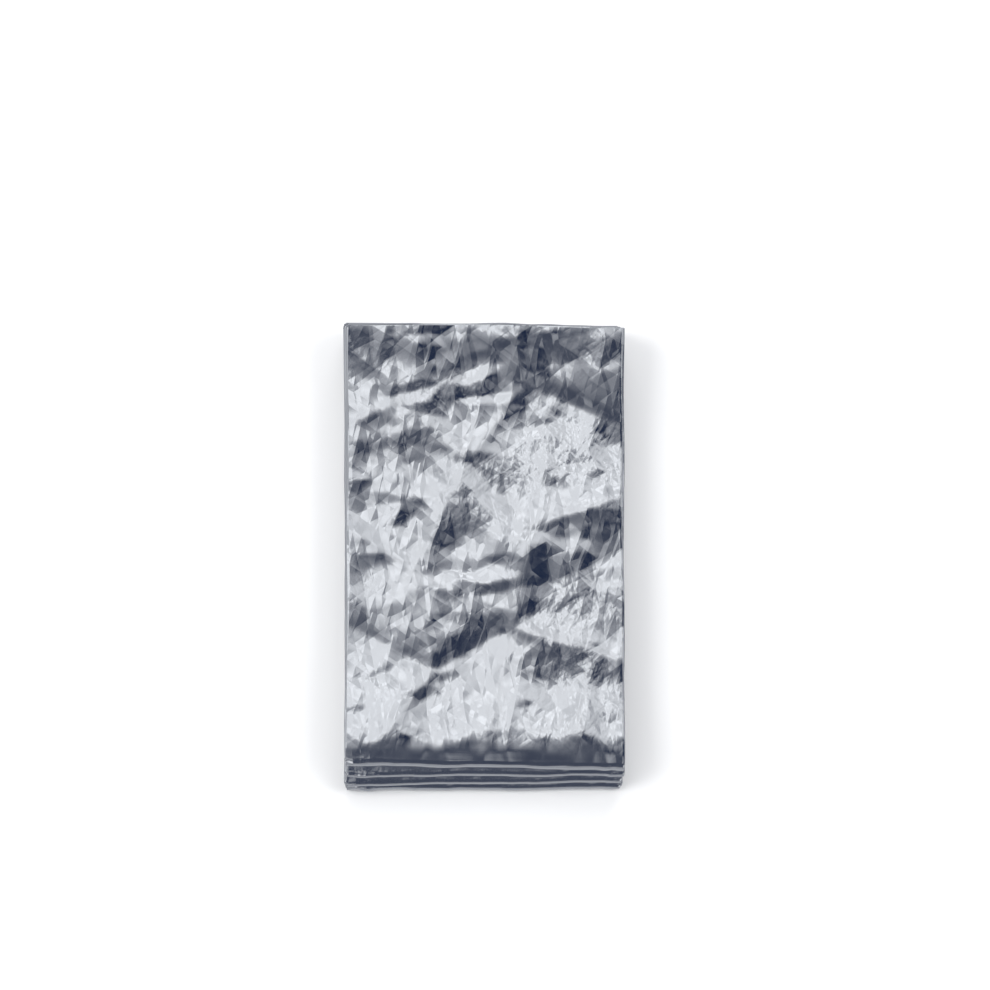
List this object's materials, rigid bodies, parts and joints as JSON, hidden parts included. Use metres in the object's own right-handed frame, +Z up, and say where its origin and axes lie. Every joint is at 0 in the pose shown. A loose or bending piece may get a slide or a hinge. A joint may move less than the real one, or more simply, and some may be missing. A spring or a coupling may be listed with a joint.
{
  "type": "folded emergency foil blanket",
  "caption": "Metallised film blanket folded back and forth into a flat rectangular packet, with rounded folds showing at its ends.",
  "frame": {"origin": "centre of the packet's box, on the surface that it lies on", "axes": "+Z up through the packet's face, +Y along its length towards the end with the loose edges, +X across its width"},
  "size_m": [0.0799, 0.13, 0.0171],
  "materials": {
    "foil": "bright, finely crinkled metallised film"
  },
  "bodies": {
    "root": {"foil_blanket": "foil"}
  },
  "joints": []
}
